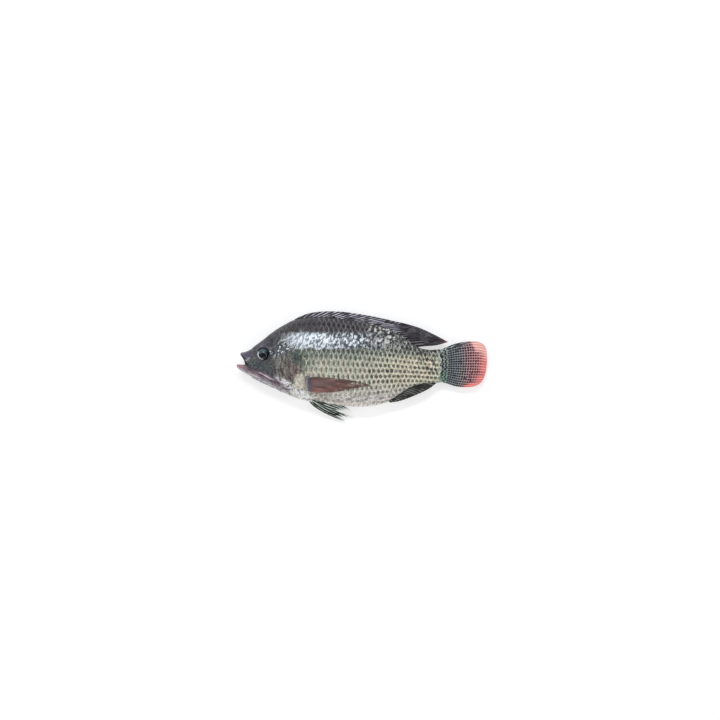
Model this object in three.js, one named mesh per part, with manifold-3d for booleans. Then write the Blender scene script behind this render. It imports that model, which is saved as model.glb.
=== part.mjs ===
// A whole tilapia lying on its right flank, as it would on a fishmonger's slab.
// Millimetres. +X runs from the snout to the tail, +Y to the back, +Z up out of the left flank.
// The shapes are worked out in the fish's own frame first: x from the tip of the lower jaw, y from the
// fish's long axis, z from its middle plane. lay() then lays them on the surface.
import * as THREE from "three";
import { mergeVertices } from "three/addons/utils/BufferGeometryUtils.js";
import Module from "manifold-3d";

const wasm = await Module();
wasm.setup();

// Driving dimensions
const TOTAL_LENGTH = 300; // tip of the lower jaw to the end of the tail fin
const BODY_LENGTH = 243; // tip of the lower jaw to the root of the tail fin
const MIDDLE_HEIGHT = 20; // the fish's middle plane above the surface, where its flank is pressed flat
const PRESSED = 1.5; // flesh this near the surface is rounded over into the flat patch
const TAIL_DROOP = 12; // how far the end of the tail hangs below the middle plane
const DROOP_FROM = 130; // where the body starts to hang
const GAP = 0.3; // clearance between touching pieces

// Outlines of the body seen from the side, as [x, y]
const BACK = [
  [17.7, 23.4], [27.3, 30.5], [46.5, 44.9], [65.6, 55.6], [75, 58.4], [88, 60.2], [105, 60], [125, 58.2],
  [144, 55], [163, 51.5], [182, 46], [192.6, 41], [202, 34.5], [212, 26.6], [220, 22.8], [230, 20.9],
  [243, 21.6],
];
const BELLY = [
  [17.7, -12.3], [32, -19.8], [46.5, -25.8], [60.8, -32.4], [80, -39], [110, -43.6], [128.5, -45.8],
  [145.7, -47], [159, -46.2], [171, -44], [181, -40], [191.4, -33.4], [201, -27], [210.5, -22],
  [223.7, -18.6], [243, -17.6],
];
// The body seen from above, as [x, half width], and the height at which it is widest
const WIDTH = [
  [17.7, 10.6], [25, 12], [32, 13.4], [45, 16.8], [60, 20.2], [75, 22.3], [95, 23], [120, 22.5], [145, 20.8],
  [170, 17.4], [190, 13.6], [210, 9.8], [225, 7.4], [243, 5],
];
const WIDEST = [[17.7, 3], [32, 6], [60, 8], [95, 10], [145, 8], [190, 6], [243, 2]];

// Rings of the open mouth, from the back of the throat out over the lips. Each gives [x, y] at the
// top, the corner of the mouth and the bottom, and the half width.
const MOUTH = [
  { top: [26, 8], side: [26, 3.4], bottom: [26, -1], half: 4.2 },
  { top: [17, 10], side: [19, 3.4], bottom: [16, -2.6], half: 6.6 },
  { top: [9.4, 11.8], side: [13, 3.2], bottom: [5.6, -1.4], half: 8 },
  { top: [5, 13.8], side: [10.6, 2.9], bottom: [1.6, 2.2], half: 8.6 },
  { top: [4.2, 15.4], side: [10.2, 2.7], bottom: [0, 3.2], half: 9.1 },
  { top: [6, 17.6], side: [11.2, 2.7], bottom: [1.2, -0.4], half: 9.7 },
  { top: [10, 19], side: [13.4, 2.8], bottom: [6, -5], half: 10 },
];

const BODY_STEPS = 42; // rings from behind the lips to the tail
const BODY_SIDES = 30; // points round each ring

// Fins: the root runs inside the body's outline and the margin is the free edge
const DORSAL_ROOT = [
  [70, 54], [88, 57.4], [125, 55], [163, 48.5], [182, 43], [193, 37.4], [202, 31], [211.5, 24],
];
const DORSAL_MARGIN = [
  [72, 58.8], [84, 63.6], [96, 66.4], [112, 67.5], [132, 66.4], [162, 61.4], [190, 55.4], [216, 48.6],
  [236, 39.8], [253.5, 30.6],
];
const ANAL_ROOT = [[179, -38], [191, -30.5], [201, -24], [212, -18.4]];
const ANAL_MARGIN = [[183, -42.4], [196, -40], [216, -32.4], [230, -25.6], [239.5, -18.8]];
const TAIL_ROOT = [[243, 20.6], [244.4, 10], [244.8, 2], [244.4, -6], [243, -16.8]];
const TAIL_MARGIN = [
  [243.4, 21.2], [258, 27.6], [276, 31.4], [292, 30.4], [298.4, 25], [300, 12], [299.6, -3], [296, -13],
  [288, -20], [274, -24], [260, -22.6], [243.4, -17.2],
];
const ROOT_HALF = 1.7; // half the thickness of the dorsal and anal fins at the root
const TAIL_ROOT_HALF = 3.6; // and of the tail fin
const MARGIN_HALF = 0.55; // half the thickness at their free edge
const THINNED_BY = 0.83; // share of the way out at which they have thinned to it

// The paired fins, each between its two long edges
const PECTORAL = {
  upper: [[84, -11], [119.9, -13], [141, -16], [164, -21.6]],
  lower: [[85.5, -29], [111.5, -29.8], [132.5, -26.6], [164, -22.4]],
};
const PECTORAL_HALF = 0.7;
const PECTORAL_CLEAR = 0.6; // from the left flank to the fin lying on it
const PECTORAL_TURN = 17; // how far the tip of the right one is turned towards the belly
const PECTORAL_REST = 0.5; // height of its middle surface before it is pressed

// The pelvic fins start to either side of the middle plane and hang down past it
const PELVIC_LEFT = {
  leading: [[84, -37.5], [104, -46], [120, -50.6], [137.8, -52.7]],
  trailing: [[97, -38.5], [111, -41], [124, -44.6], [137.8, -51.6]],
  side: 5,
  hang: 9,
};
const PELVIC_RIGHT = {
  leading: [[82, -38], [94, -47.2], [112.7, -58.6], [133, -66.6]],
  trailing: [[92, -38.5], [108, -45.2], [124, -53.6], [138.6, -60.2]],
  side: -4.5,
  hang: 13,
};
const PELVIC_HALF = 0.8;
const SAG = 1.3; // above 1, a free fin falls away faster towards its tip

// The eyeball is a flattened ball, standing a little out of the head
const EYE = { x: 31.6, y: 15.2, radius: 7, depth: 5.4, stands: 1.5 };

// Colours and finishes
const finish = (color, roughness) => new THREE.MeshStandardMaterial({ color, roughness, metalness: 0 });
const SKIN = finish(0x7c7f74, 0.35);
const DARK_FIN = finish(0x39363c, 0.45);
const TAIL_FIN = finish(0x7d5a5c, 0.45);
const BROWN_FIN = finish(0x6b4a44, 0.4);
const EYE_GLAZE = finish(0x14181a, 0.08);

// The value at x of a smooth line through [x, value] points, held level past its ends.
function along(points, x) {
  const last = points.length - 1;
  if (x <= points[0][0]) return points[0][1];
  if (x >= points[last][0]) return points[last][1];
  const i = points.findIndex((p) => p[0] > x) - 1;
  const slope = (a, b) => (points[b][1] - points[a][1]) / (points[b][0] - points[a][0]);
  const step = points[i + 1][0] - points[i][0];
  const t = (x - points[i][0]) / step;
  const leave = slope(Math.max(i - 1, 0), i + 1) * step;
  const arrive = slope(i, Math.min(i + 2, last)) * step;
  const fall = t * t * (3 - 2 * t);
  return (
    points[i][1] * (1 - fall) + points[i + 1][1] * fall +
    leave * t * (1 - t) ** 2 - arrive * t * t * (1 - t)
  );
}

// How far the fish hangs below its own middle plane at x.
const droop = (x) => TAIL_DROOP * (Math.max(0, x - DROOP_FROM) / (TOTAL_LENGTH - DROOP_FROM)) ** 2;

// Where a point of the fish's own frame comes to lie: the tail droops, and nothing passes the surface.
function lay(x, y, z) {
  const height = z + MIDDLE_HEIGHT - droop(x);
  if (height > PRESSED) return new THREE.Vector3(x, y, height);
  return new THREE.Vector3(x, y, Math.max(0, height + PRESSED) ** 2 / (4 * PRESSED));
}

// A ring of the body: its top, its widest point on either side and its bottom.
function bodyRing(x, grown) {
  const level = along(WIDEST, x);
  return {
    top: [x, along(BACK, x) + grown],
    side: [x, level],
    bottom: [x, along(BELLY, x) - grown],
    half: along(WIDTH, x) + grown,
  };
}

// The point of a ring at an angle from its top, in the fish's own frame.
function ringPoint(ring, angle) {
  const c = Math.cos(angle);
  const end = c > 0 ? ring.top : ring.bottom;
  return {
    x: ring.side[0] + (end[0] - ring.side[0]) * c * c,
    y: ring.side[1] + (end[1] - ring.side[1]) * Math.abs(c),
    z: ring.half * Math.sin(angle),
  };
}

// Every ring of the body, mouth first. grown makes it that much bigger all round.
function bodyRings(grown = 0) {
  const rings = MOUTH.map((ring) => ({ ...ring, half: ring.half + grown }));
  const start = BACK[0][0];
  for (let i = 0; i <= BODY_STEPS; i++) {
    rings.push(bodyRing(start + ((BODY_LENGTH - start) * i) / BODY_STEPS, grown));
  }
  return rings;
}

// Where the flank's skin stands at (x, y): its distance from the middle plane.
function flank(x, y) {
  const ring = bodyRing(x, 0);
  const end = y > ring.side[1] ? ring.top : ring.bottom;
  const c = Math.min(1, (y - ring.side[1]) / (end[1] - ring.side[1]));
  return ring.half * Math.sqrt(1 - c * c);
}

// Moves every vertex of a closed three.js geometry and welds it.
function reshape(geometry, place) {
  const bare = geometry.clone();
  for (const name of ["normal", "uv"]) bare.deleteAttribute(name);
  const position = bare.getAttribute("position");
  for (let i = 0; i < position.count; i++) {
    const moved = place(position.getX(i), position.getY(i), position.getZ(i));
    position.setXYZ(i, moved.x, moved.y, moved.z);
  }
  return mergeVertices(bare, 1e-3);
}

// A closed geometry as a solid, with its faces turned outwards if the move turned them in.
function solid(geometry) {
  const vertProperties = new Float32Array(geometry.getAttribute("position").array);
  const triVerts = new Uint32Array(geometry.index.array);
  const made = new wasm.Manifold(new wasm.Mesh({ numProp: 3, vertProperties, triVerts }));
  if (made.volume() > 0) return made;
  return new wasm.Manifold(new wasm.Mesh({ numProp: 3, vertProperties, triVerts: triVerts.reverse() }));
}

function geometryOf(manifold) {
  const mesh = manifold.getMesh();
  return new THREE.BufferGeometry()
    .setAttribute("position", new THREE.BufferAttribute(mesh.vertProperties, 3))
    .setIndex(new THREE.BufferAttribute(mesh.triVerts, 1));
}

// The body as a tube of rings, closed at the back of the throat and at the root of the tail.
function makeBody(grown) {
  const rings = bodyRings(grown);
  const tube = new THREE.CylinderGeometry(1, 1, rings.length - 1, BODY_SIDES, rings.length - 1);
  return solid(
    reshape(tube, (x, y, z) => {
      const ring = rings[Math.round(y + (rings.length - 1) / 2)];
      if (Math.hypot(x, z) < 0.5) return lay(ring.side[0], (ring.top[1] + ring.bottom[1]) / 2, 0);
      const p = ringPoint(ring, Math.atan2(x, z));
      return lay(p.x, p.y, p.z);
    }),
  );
}

// A point a share of the way along a line of [x, y] points, on a smooth curve through them.
function lineCurve(points) {
  const curve = new THREE.SplineCurve(points.map((p) => new THREE.Vector2(...p)));
  return (share) => curve.getPoint(share);
}

// A thin plate: middle(u, v) is its middle surface in the fish's own frame and half(u, v) half its thickness.
function plate(across, out, middle, half) {
  return solid(
    reshape(new THREE.BoxGeometry(1, 1, 1, across, out, 1), (x, y, z) => {
      const [u, v, face] = [x + 0.5, y + 0.5, Math.sign(z)];
      const p = middle(u, v);
      return lay(p.x, p.y, p.z + face * half(u, v));
    }),
  );
}

// A fin standing in the middle plane, between the curve of its root and its free margin.
function middleFin(root, margin, across, out, rootHalf) {
  const [from, to] = [lineCurve(root), lineCurve(margin)];
  return plate(
    across, out,
    (u, v) => ({ ...from(u).lerp(to(u), v), z: 0 }),
    (u, v) => rootHalf + (MARGIN_HALF - rootHalf) * Math.min(1, v / THINNED_BY),
  );
}

// A paired fin between its two long edges, with its middle surface at the height that rise(u, x, y) gives.
function pairedFin(edges, half, rise, turn = 0) {
  const [front, back] = edges.map(lineCurve);
  return plate(
    12, 4,
    (u, v) => {
      const p = front(u).lerp(back(u), v);
      return { x: p.x, y: p.y - turn * u ** SAG, z: rise(u, p.x, p.y) };
    },
    () => half,
  );
}

// The left pectoral fin lies on the left flank, and the right one on the surface under the belly.
function pectoralLeft() {
  const onFlank = (u, x, y) => flank(x, y) + PECTORAL_HALF + PECTORAL_CLEAR;
  return pairedFin([PECTORAL.upper, PECTORAL.lower], PECTORAL_HALF, onFlank);
}

function pectoralRight() {
  const onSurface = (u, x) => PECTORAL_REST - MIDDLE_HEIGHT + droop(x);
  return pairedFin([PECTORAL.upper, PECTORAL.lower], PECTORAL_HALF, onSurface, PECTORAL_TURN);
}

function pelvic({ leading, trailing, side, hang }) {
  return pairedFin([leading, trailing], PELVIC_HALF, (u) => side - hang * u ** SAG);
}

// The eye of the left flank (side 1) or the right (side -1).
function eye(side, grown) {
  const out = side * (flank(EYE.x, EYE.y) + EYE.stands - EYE.depth);
  const ball = new THREE.SphereGeometry(EYE.radius + grown, 20, 12);
  const flat = (EYE.depth + grown) / (EYE.radius + grown);
  return solid(
    reshape(ball, (x, y, z) => new THREE.Vector3(EYE.x + x, EYE.y + y, MIDDLE_HEIGHT + out + z * flat)),
  );
}

const grownBody = makeBody(GAP);
const clearOfBody = (fin) => fin.subtract(grownBody);

const fins = {
  dorsal_fin: [middleFin(DORSAL_ROOT, DORSAL_MARGIN, 36, 3, ROOT_HALF), DARK_FIN],
  anal_fin: [middleFin(ANAL_ROOT, ANAL_MARGIN, 14, 3, ROOT_HALF), DARK_FIN],
  caudal_fin: [middleFin(TAIL_ROOT, TAIL_MARGIN, 24, 6, TAIL_ROOT_HALF), TAIL_FIN],
  pectoral_fin_left: [pectoralLeft(), BROWN_FIN],
  pectoral_fin_right: [pectoralRight(), BROWN_FIN],
  pelvic_fin_left: [pelvic(PELVIC_LEFT), DARK_FIN],
  pelvic_fin_right: [pelvic(PELVIC_RIGHT), DARK_FIN],
};

const body = makeBody(0).subtract(eye(1, GAP)).subtract(eye(-1, GAP));

const fish = new THREE.Group();
function add(name, manifold, material) {
  const mesh = new THREE.Mesh(geometryOf(manifold), material);
  mesh.name = name;
  fish.add(mesh);
}

add("body", body, SKIN);
add("eye_left", eye(1, 0), EYE_GLAZE);
add("eye_right", eye(-1, 0), EYE_GLAZE);
for (const [name, [fin, material]] of Object.entries(fins)) add(name, clearOfBody(fin), material);

// The origin is under the middle of the whole fish, on the surface it lies on.
const whole = new THREE.Box3().setFromObject(fish);
const centre = whole.getCenter(new THREE.Vector3());
fish.position.set(-centre.x, -centre.y, -whole.min.z);

export default fish;
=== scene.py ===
"""A whole tilapia lying on its right flank: skin, overlapping scales, fins with their rays, and eyes.

Sizes are in the fish's own millimetres: x from the tip of the lower jaw, y from the long axis towards
the back, z from the middle plane out of the left flank. lay() lays them on the surface, and row()
gives the part's own frame in metres.
"""

import math

import bpy
import numpy as np
from bpy.props import FloatProperty, FloatVectorProperty, IntProperty, PointerProperty
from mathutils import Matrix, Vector


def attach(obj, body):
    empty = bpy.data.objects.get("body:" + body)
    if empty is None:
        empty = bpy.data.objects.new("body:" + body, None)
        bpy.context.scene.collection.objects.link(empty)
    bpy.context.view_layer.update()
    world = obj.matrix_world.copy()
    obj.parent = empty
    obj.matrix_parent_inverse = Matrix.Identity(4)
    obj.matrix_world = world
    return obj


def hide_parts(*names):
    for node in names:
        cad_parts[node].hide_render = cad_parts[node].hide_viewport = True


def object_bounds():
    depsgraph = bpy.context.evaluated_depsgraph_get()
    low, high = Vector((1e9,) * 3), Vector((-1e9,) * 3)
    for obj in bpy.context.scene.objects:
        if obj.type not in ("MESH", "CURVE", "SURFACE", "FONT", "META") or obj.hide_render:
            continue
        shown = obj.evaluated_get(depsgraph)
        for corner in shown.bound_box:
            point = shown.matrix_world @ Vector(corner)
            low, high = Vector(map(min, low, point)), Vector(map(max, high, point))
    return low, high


bl_info = {
    "name": "Whole tilapia",
    "version": (1, 0, 0),
    "blender": (4, 5, 0),
    "location": "View3D > Sidebar > Tilapia",
    "description": "Skin, scales, fins and eyes for a tilapia lying on its flank",
    "category": "Add Mesh",
}

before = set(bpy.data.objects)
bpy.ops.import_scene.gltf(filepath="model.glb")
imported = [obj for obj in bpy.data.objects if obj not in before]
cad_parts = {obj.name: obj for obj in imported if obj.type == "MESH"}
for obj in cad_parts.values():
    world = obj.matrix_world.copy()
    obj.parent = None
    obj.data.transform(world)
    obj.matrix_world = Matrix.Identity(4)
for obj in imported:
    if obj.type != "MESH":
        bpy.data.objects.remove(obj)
BOX_LOW, BOX_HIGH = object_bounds()

# How the fish lies
JAW_X = BOX_LOW.x * 1000  # the tip of the lower jaw
AXIS_Y = BOX_HIGH.y * 1000 - 67.5  # the long axis, this far under the top of the dorsal fin
MIDDLE_HEIGHT = 20  # the middle plane above the surface
TAIL_DROOP = 12  # how far the end of the tail hangs below the middle plane
DROOP_FROM, TOTAL_LENGTH = 130, 300
SKIN_REST = 0.9  # the pressed skin's height above the surface, with its scales under it
PRESSED = 1.5  # flesh this near the surface is rounded over into the flat patch
FLOOR_CLEAR = 0.04  # no corner is lower than this above the surface

# Outlines of the body from the side and from above, as [x, y] and [x, half width]
BACK = [
    [17.7, 23.4], [27.3, 30.5], [46.5, 44.9], [65.6, 55.6], [75, 58.4], [88, 60.2], [105, 60], [125, 58.2],
    [144, 55], [163, 51.5], [182, 46], [192.6, 41], [202, 34.5], [212, 26.6], [220, 22.8], [230, 20.9],
    [243, 21.6],
]
BELLY = [
    [17.7, -12.3], [32, -19.8], [46.5, -25.8], [60.8, -32.4], [80, -39], [110, -43.6], [128.5, -45.8],
    [145.7, -47], [159, -46.2], [171, -44], [181, -40], [191.4, -33.4], [201, -27], [210.5, -22],
    [223.7, -18.6], [243, -17.6],
]
WIDTH = [
    [17.7, 10.6], [25, 12], [32, 13.4], [45, 16.8], [60, 20.2], [75, 22.3], [95, 23], [120, 22.5],
    [145, 20.8], [170, 17.4], [190, 13.6], [210, 9.8], [225, 7.4], [243, 5],
]
WIDEST = [[17.7, 3], [32, 6], [60, 8], [95, 10], [145, 8], [190, 6], [243, 2]]
HEAD_START, BODY_END = 17.7, 243  # where the mouth's rings end, and where the body does

# Rings of the open mouth, from the throat out over the lips: the top, the corner and the bottom as
# x, y, and the half width
MOUTH = [
    [26, 8, 26, 3.4, 26, -1, 4.2],
    [17, 10, 19, 3.4, 16, -2.6, 6.6],
    [9.4, 11.8, 13, 3.2, 5.6, -1.4, 8],
    [5, 13.8, 10.6, 2.9, 1.6, 2.2, 8.6],
    [4.2, 15.4, 10.2, 2.7, 0, 3.2, 9.1],
    [6, 17.6, 11.2, 2.7, 1.2, -0.4, 9.7],
    [10, 19, 13.4, 2.8, 6, -5, 10],
]
LIP_RING = 4  # the ring at the edge of the lips

# Lines on the head, as [x, y]
GILL_EDGE = [
    [49, 26.5], [58, 25], [66, 22.5], [72, 19], [75.6, 13], [76.6, 6], [76.6, -2], [75.4, -8.5],
    [72, -14], [67.5, -18.4], [60, -22], [51, -24.6], [42, -23],
]
SCALES_START = [
    [30, 44], [37, 36], [44, 30], [51, 27.5], [58, 26.5], [66, 24], [72.5, 20], [76.6, 13.5], [77.6, 6],
    [77.6, -2], [76.5, -9], [73, -15], [69, -20], [66, -26], [63, -34], [60, -44],
]
CHEEK_EDGE = [[47.5, 13], [49.5, 5], [49.5, -4], [47.5, -10], [43, -14], [36, -15.6], [28, -14]]
LOWER_COVER = [[71, -12], [62, -16.4], [52, -18.6], [44, -19]]
UPPER_JAW = [[10.8, 3], [13.6, 6.5], [18, 10.5], [21, 15]]
LOWER_JAW = [[11.5, 1.8], [16, -3.4], [22, -7.4], [30, -10.4]]
GILL_FOLDS = [
    [[70, -19], [61, -24.4], [51, -27.2], [40, -24.6]],
    [[66, -23], [58, -27.4], [49, -29.6], [38, -26.2]],
]
EYE_BULGE = 0.05  # how much further the clear front of the eye stands out, as a share of its depth
EYE_AT, EYE_RADIUS, EYE_DEPTH, EYE_STANDS = (31.6, 15.9), 7.5, 5.4, 1.5
NOSTRIL_AT = (20.6, 19.2)
FIN_PAD_AT, FIN_PAD_SIZE = (75.6, -16.6), (7.4, 10.4)  # the fleshy root of the pectoral fin

# Fins as [x, y]: the root, the free margin, and the points between them along the first and last edges
DORSAL = {
    "root": [
        [64, 51], [72, 54.4], [88, 57], [125, 54.6], [163, 48], [182, 42.4], [193, 37], [202, 30.6],
        [211.5, 23.6],
    ],
    "margin": [
        [66, 55.6], [72, 59.4], [78, 62.2], [86, 64.9], [96, 66.7], [112, 67.4], [132, 66.2],
        [162, 61.4], [190, 55.4], [216, 48.6], [236, 39.8], [253.5, 30.6],
    ],
    "first": [],
    "last": [[224, 25.2], [239, 26.6]],
    "swept": 0.76,  # how far the rays lean back: one for not at all, and less for more
}
ANAL = {
    "root": [[179, -37.4], [191, -30], [201, -23.4], [212, -17.4]],
    "margin": [[184, -42.2], [196, -40], [216, -32.4], [230, -25.6], [239.5, -18.6]],
    "first": [[181, -40.6]],
    "last": [[221, -16.6], [231, -16.8]],
}
TAIL = {
    "root": [[242, -16.6], [243.4, -6], [243.8, 2], [243.4, 10], [242, 20.4]],
    "margin": [
        [288, -21.4], [293, -18], [296.6, -12], [298.8, -4], [299.8, 5], [299.9, 14], [299.4, 20.6],
        [298.4, 24.6], [295.8, 27.8],
    ],
    "first": [[252, -19.6], [262, -22.8], [274, -23.8], [283, -23]],
    "last": [[251, 24.6], [262, 28.8], [278, 31.4], [289, 30.9]],
}
PECTORAL = {
    "root": [[83, -27.6], [82.6, -19], [83, -11.6]],
    "margin": [[104, -30.2], [118, -29.4], [134, -26.4], [150, -24], [164, -22]],
    "first": [[92, -29.6]],
    "last": [[100, -11.6], [120, -13], [142, -16.4]],
}
PELVIC_LEFT = {
    "root": [[97, -37], [90, -36], [83, -35.4]],
    "margin": [[137.8, -52.4], [130.6, -51], [124, -51.6]],
    "first": [[110, -39.6], [122, -43.6], [130.6, -47.4]],
    "last": [[95, -42.6], [108, -48.4], [117, -51]],
}
PELVIC_RIGHT = {
    "root": [[93, -36.6], [87, -36], [81, -35.4]],
    "margin": [[138.6, -60.2], [132, -59.8], [126, -60.2], [128.6, -63.4], [133, -66.6]],
    "first": [[108, -45.4], [122, -53.4], [131, -56.8]],
    "last": [[91, -46.2], [103, -54], [118, -61]],
}
PECTORAL_TURN = 17  # how far towards the belly the hidden pectoral fin's tip is swung
SAG = 1.3  # how a hanging fin curves: one for straight


def smooth(knots, values, at):
    """The values at any places of a smooth line through the values at the knots, held level past its ends."""
    knots, values = np.asarray(knots, float), np.asarray(values, float)
    at = np.clip(at, knots[0], knots[-1])
    i = np.clip(np.searchsorted(knots, at, side="right") - 1, 0, len(knots) - 2)
    last = len(knots) - 1
    before, after = np.maximum(i - 1, 0), np.minimum(i + 2, last)
    step = knots[i + 1] - knots[i]
    t = (at - knots[i]) / step
    fall = t * t * (3 - 2 * t)
    shape = (slice(None),) + (None,) * (values.ndim - 1)
    leave = (values[i + 1] - values[before]) / (knots[i + 1] - knots[before])[shape] * step[shape]
    arrive = (values[after] - values[i]) / (knots[after] - knots[i])[shape] * step[shape]
    t, fall = t[shape], fall[shape]
    return values[i] * (1 - fall) + values[i + 1] * fall + leave * t * (1 - t) ** 2 - arrive * t * t * (1 - t)


def outline(points, x):
    """The height, or other value, at x of a smooth line through points."""
    points = np.array(points, float)
    return smooth(points[:, 0], points[:, 1], np.ravel(x))


def along_line(points, share):
    """The points a share of the way along a smooth line through points, by its length."""
    points = np.array(points, float)
    length = np.concatenate([[0], np.cumsum(np.linalg.norm(np.diff(points, axis=0), axis=1))])
    return smooth(length, points, np.ravel(share) * length[-1])


LINE_STEPS = 90  # how many places along a line its distance is worked out from


def distance_to(points, x, y):
    """Distance of each (x, y) from a smooth line, positive on its left as it runs."""
    line = along_line(points, np.linspace(0, 1, LINE_STEPS))
    start, run = line[:-1], np.diff(line, axis=0)
    at = np.column_stack([x, y])
    best = np.full(len(at), np.inf)
    side = np.ones(len(at))
    for a, d in zip(start, run):
        t = np.clip(((at - a) @ d) / (d @ d), 0, 1)
        off = at - a - t[:, None] * d
        far = np.hypot(off[:, 0], off[:, 1])
        nearer = far < best
        best = np.where(nearer, far, best)
        side = np.where(nearer, np.sign(d[0] * off[:, 1] - d[1] * off[:, 0]), side)
    return best * side


def rise(value, low, high):
    """Nought below low, one above high, and smooth between them."""
    t = np.clip((value - low) / (high - low), 0, 1)
    return t * t * (3 - 2 * t)


def groove(distance, width):
    """One at no distance, and soon nought past the width."""
    return np.exp(-((distance / width) ** 2))


def droop(x):
    """How far the tail hangs at x."""
    return TAIL_DROOP * (np.maximum(0, x - DROOP_FROM) / (TOTAL_LENGTH - DROOP_FROM)) ** 2


def lay(points):
    """Lays points on the surface: the tail droops, and flesh near the surface is pressed flat."""
    height = points[:, 2] + MIDDLE_HEIGHT - SKIN_REST - droop(points[:, 0])
    flat = np.maximum(0, height + PRESSED) ** 2 / (4 * PRESSED)
    laid = np.where(height > PRESSED, height, flat) + SKIN_REST
    return np.column_stack([points[:, 0], points[:, 1], laid])


def row(points):
    """Laid points in the part's own frame, in metres, none of them under the surface."""
    x, y, z = points[:, 0] + JAW_X, points[:, 1] + AXIS_Y, np.maximum(points[:, 2], FLOOR_CLEAR)
    return np.column_stack([x, y, z]) / 1000


# The body's rings: the mouth's, then one at every station behind it
def trunk_ring(x):
    """Rings behind the mouth, in the order of MOUTH."""
    back, widest, belly, width = (outline(line, x) for line in (BACK, WIDEST, BELLY, WIDTH))
    return np.column_stack([x, back, x, widest, x, belly, width])


def ring_at(station):
    """A ring at each station. Stations up to len(MOUTH) are the mouth's. Past it they go by millimetres."""
    stations = np.ravel(station)
    behind = np.concatenate([HEAD_START + np.arange(0, 12, 2.0), [40, 60]])  # a few more, for a smooth join
    rings = np.vstack([MOUTH, trunk_ring(behind)])
    knots = np.arange(len(rings), dtype=float)
    mouth = smooth(knots, rings, np.minimum(stations, len(MOUTH)))
    trunk = trunk_ring(np.maximum(stations - len(MOUTH) + HEAD_START, HEAD_START))
    return np.where((stations < len(MOUTH))[:, None], mouth, trunk)


def skin_point(station, angle):
    """The bare skin at a station and an angle from the ring's top, round over the left flank."""
    ring = ring_at(station)
    c = np.cos(np.ravel(angle))
    end = np.where((c > 0)[:, None], ring[:, 0:2], ring[:, 4:6])
    x = ring[:, 2] + (end[:, 0] - ring[:, 2]) * c * c
    y = ring[:, 3] + (end[:, 1] - ring[:, 3]) * np.abs(c)
    return np.column_stack([x, y, ring[:, 6] * np.sin(np.ravel(angle))])


def raised(station, angle, height):
    """The skin laid on the surface and raised by height along its own normal."""
    step, tiny = 1e-3, 1e-12
    base = lay(skin_point(station, angle))
    along = lay(skin_point(station + step, angle)) - base
    around = lay(skin_point(station, angle + step)) - base
    normal = np.cross(around, along)
    normal /= np.maximum(np.linalg.norm(normal, axis=1), tiny)[:, None]
    return base + normal * np.ravel(height)[:, None]


def station_of(x):
    """The station of the ring at x, behind the mouth."""
    return np.ravel(x) - HEAD_START + len(MOUTH)


def flank_height(x, y):
    """How far the bare skin stands from the middle plane at (x, y)."""
    level = outline(WIDEST, x)
    end = np.where(np.ravel(y) > level, outline(BACK, x), outline(BELLY, x))
    c = np.clip((np.ravel(y) - level) / (end - level), -1, 1)
    return outline(WIDTH, x) * np.sqrt(1 - c * c)


def head_relief(x, y):
    """Height of the head's plates, folds and grooves over the bare skin."""
    edge = distance_to(GILL_EDGE, x, y)
    behind = rise(x, 40, 52)
    height = 1.1 * behind * rise(-edge, -0.25, 0.55) * (1 - rise(-edge, 1, 17))
    height -= 0.9 * behind * groove(edge - 1.1, 1.1)
    cheek = distance_to(CHEEK_EDGE, x, y)
    height += 0.45 * rise(-cheek, -0.4, 0.5) * (1 - rise(-cheek, 1, 8)) - 0.5 * groove(cheek - 0.5, 0.7)
    for line, depth, width in ((LOWER_COVER, 0.4, 0.6), (UPPER_JAW, 0.5, 0.7), (LOWER_JAW, 0.55, 0.7)):
        height -= depth * groove(distance_to(line, x, y), width)
    for fold in GILL_FOLDS:
        height += 0.5 * groove(distance_to(fold, x, y), 1.3)
    out = np.hypot(x - EYE_AT[0], y - EYE_AT[1]) - EYE_RADIUS
    height += 0.75 * groove(out - 0.9, 0.95) - 3.2 * (1 - rise(out, -1.3, 0.2))
    hole = np.hypot(x - NOSTRIL_AT[0], (y - NOSTRIL_AT[1]) * 1.3)
    height += 0.35 * groove(hole - 1.7, 0.6) - 1.1 * groove(hole, 0.75)
    pad = np.hypot((x - FIN_PAD_AT[0]) / FIN_PAD_SIZE[0], (y - FIN_PAD_AT[1]) / FIN_PAD_SIZE[1])
    height += 0.9 * (1 - rise(pad, 0.55, 1.1)) * rise(edge, 0.2, 2)
    return height


def lip_relief(station):
    """The rolled lip and the fold behind it."""
    return 0.8 * groove(station - LIP_RING - 0.5, 0.9) - 0.6 * groove(station - LIP_RING - 2.7, 0.6)


# Tools for making pieces
def only(piece):
    """Selects one piece and nothing else."""
    bpy.ops.object.select_all(action="DESELECT")
    piece.select_set(True)
    bpy.context.view_layer.objects.active = piece


def in_edit_mode(piece, *steps):
    """Runs mesh operators on all of a piece."""
    only(piece)
    bpy.ops.object.mode_set(mode="EDIT")
    bpy.ops.mesh.select_all(action="SELECT")
    for step, settings in steps:
        step(**settings)
    bpy.ops.object.mode_set(mode="OBJECT")


def apply(piece, kind, **settings):
    """Adds a modifier and applies it."""
    only(piece)
    modifier = piece.modifiers.new(kind.lower(), kind)
    for key, value in settings.items():
        setattr(modifier, key, value)
    bpy.ops.object.modifier_apply(modifier=modifier.name)


def corners(mesh):
    """Where a mesh's corners are, a row each."""
    flat = np.zeros(len(mesh.vertices) * 3, np.float32)
    mesh.vertices.foreach_get("co", flat)
    return flat.reshape(-1, 3).astype(float)


def move_corners(mesh, points):
    """Puts a mesh's corners at points, a row each."""
    mesh.vertices.foreach_set("co", np.asarray(points, np.float32).ravel())
    mesh.update()


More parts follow.
